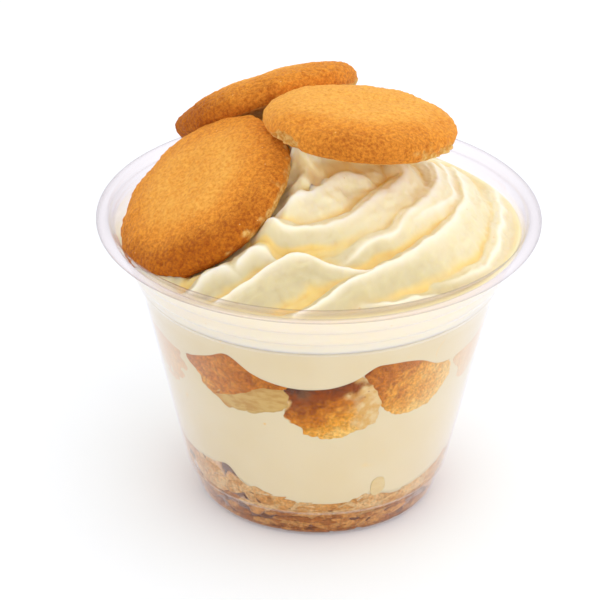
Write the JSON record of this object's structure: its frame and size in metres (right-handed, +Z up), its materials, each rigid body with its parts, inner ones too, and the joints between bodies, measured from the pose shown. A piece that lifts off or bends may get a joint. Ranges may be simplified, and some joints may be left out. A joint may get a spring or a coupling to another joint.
{
  "type": "banana pudding",
  "caption": "Layered banana pudding in a clear plastic dessert cup: crumb base, soaked wafer layer, piped cream swirl and whole vanilla wafers on top.",
  "frame": {"origin": "on the standing surface, under the centre of the cup's foot", "axes": "+Z up out of the cup's mouth; -Y is the front that the picture shows, +X is to its right"},
  "size_m": [0.092, 0.092, 0.0905],
  "materials": {
    "clear_cup": "clear gloss",
    "crumbs": "crumbly, damp",
    "pudding": "smooth, moist",
    "soaked_wafer": "soft, damp biscuit",
    "banana": "smooth, moist",
    "cream": "soft satin",
    "wafer": "fine sandy crumb"
  },
  "bodies": {
    "root": {"cup": "clear_cup", "crumb_base": "crumbs", "pudding_lower": "pudding", "pudding_upper": "pudding", "soaked_layer": "soaked_wafer", "cream_swirl": "cream", "layer_wafer_1": "soaked_wafer", "layer_wafer_2": "soaked_wafer", "layer_wafer_3": "soaked_wafer", "layer_wafer_4": "soaked_wafer", "layer_wafer_5": "soaked_wafer", "layer_wafer_6": "soaked_wafer", "layer_wafer_7": "soaked_wafer", "layer_wafer_8": "soaked_wafer", "banana_slice_1": "banana", "banana_slice_2": "banana", "banana_slice_3": "banana", "top_wafer_left": "wafer", "top_wafer_right": "wafer", "top_wafer_back": "wafer"}
  },
  "joints": []
}
